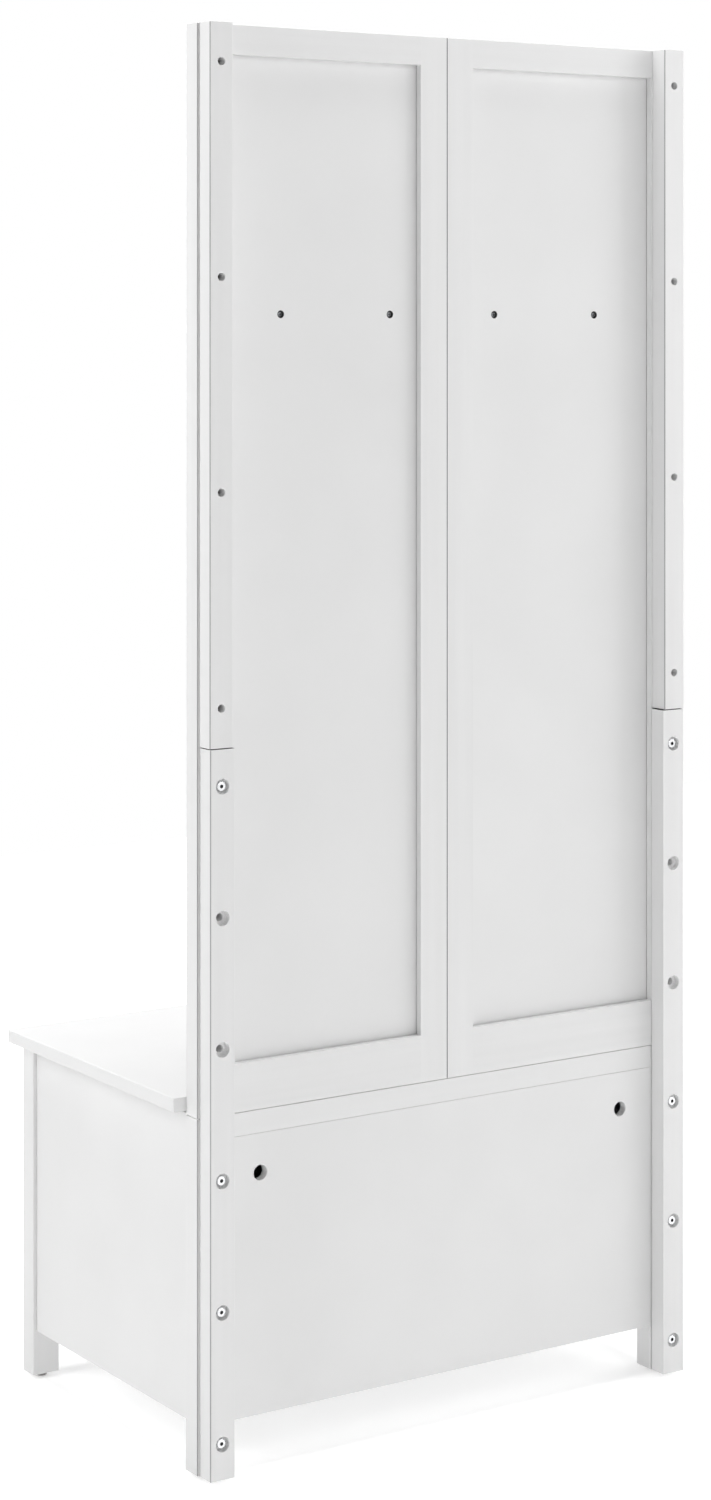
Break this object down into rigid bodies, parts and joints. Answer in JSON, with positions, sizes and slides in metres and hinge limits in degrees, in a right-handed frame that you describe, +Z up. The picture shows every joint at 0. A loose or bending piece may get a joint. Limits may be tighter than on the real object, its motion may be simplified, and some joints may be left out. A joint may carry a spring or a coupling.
{
  "type": "hall tree with hooks",
  "caption": "Free-standing hall tree: a storage bench with a lift-up seat, a tall framed back tied to it by bolted battens, and double coat hooks.",
  "frame": {"origin": "middle of the footprint, on the floor", "axes": "+Z up; the seat's front faces -Y and the back, which stands against a wall, faces +Y; +X is to the right of someone in front of the bench"},
  "size_m": [0.803, 0.5158, 1.836],
  "materials": {
    "white_paint": "satin white paint over smooth board, soft eased edges",
    "back_panel_paint": "satin white paint on thin flat board",
    "seat_paint": "satin white paint, slightly glossier, on the seat board",
    "zinc_bolt": "bright zinc-plated socket-head bolt",
    "screw_steel": "zinc-plated screw",
    "nickel_hook": "satin nickel plate",
    "hinge_steel": "nickel-plated pressed steel",
    "glide_plastic": "moulded dark plastic",
    "bumper_rubber": "clear soft rubber dot"
  },
  "bodies": {
    "carcass": {"back_panel_left": "back_panel_paint", "back_panel_right": "back_panel_paint", "batten_bolt_left_1": "zinc_bolt", "batten_bolt_left_2": "zinc_bolt", "batten_bolt_left_3": "zinc_bolt", "batten_bolt_left_6": "zinc_bolt", "batten_bolt_right_1": "zinc_bolt", "batten_bolt_right_2": "zinc_bolt", "batten_bolt_right_3": "zinc_bolt", "batten_bolt_right_6": "zinc_bolt", "bench_back_panel": "white_paint", "bench_back_rail": "white_paint", "bench_bottom": "white_paint", "bottom_cleat_left": "white_paint", "bottom_cleat_right": "white_paint", "bottom_rail_left": "white_paint", "bottom_rail_right": "white_paint", "coat_hook_1": "nickel_hook", "coat_hook_2": "nickel_hook", "coat_hook_3": "nickel_hook", "coat_hook_4": "nickel_hook", "front_bottom_rail": "white_paint", "front_leg_left": "white_paint", "front_leg_right": "white_paint", "front_muntin": "white_paint", "front_panel_left": "white_paint", "front_panel_right": "white_paint", "front_top_rail": "white_paint", "glide_front_left": "glide_plastic", "glide_front_right": "glide_plastic", "glide_rear_left": "glide_plastic", "glide_rear_right": "glide_plastic", "hinge_frame_leaf_left": "hinge_steel", "hinge_frame_leaf_right": "hinge_steel", "hinge_pin_left": "hinge_steel", "hinge_pin_right": "hinge_steel", "hook_screw_1": "screw_steel", "hook_screw_2": "screw_steel", "hook_screw_3": "screw_steel", "hook_screw_4": "screw_steel", "inner_stile_left": "white_paint", "inner_stile_right": "white_paint", "lower_batten_left": "white_paint", "lower_batten_right": "white_paint", "outer_stile_left": "white_paint", "outer_stile_right": "white_paint", "rear_leg_left": "white_paint", "rear_leg_right": "white_paint", "side_panel_left": "white_paint", "side_panel_right": "white_paint", "top_rail_left": "white_paint", "top_rail_right": "white_paint", "upper_batten_left": "white_paint", "upper_batten_right": "white_paint"},
    "seat": {"hinge_seat_leaf_left": "hinge_steel", "hinge_seat_leaf_right": "hinge_steel", "seat_bumper_left": "bumper_rubber", "seat_bumper_right": "bumper_rubber", "seat_lid": "seat_paint"}
  },
  "joints": [
    {"name": "seat_hinge", "type": "hinge", "parent": "carcass", "child": "seat", "pos_m": [0, 0.1993, 0.4817], "axis": [-1, 0, 0], "range_deg": [0, 90]}
  ]
}
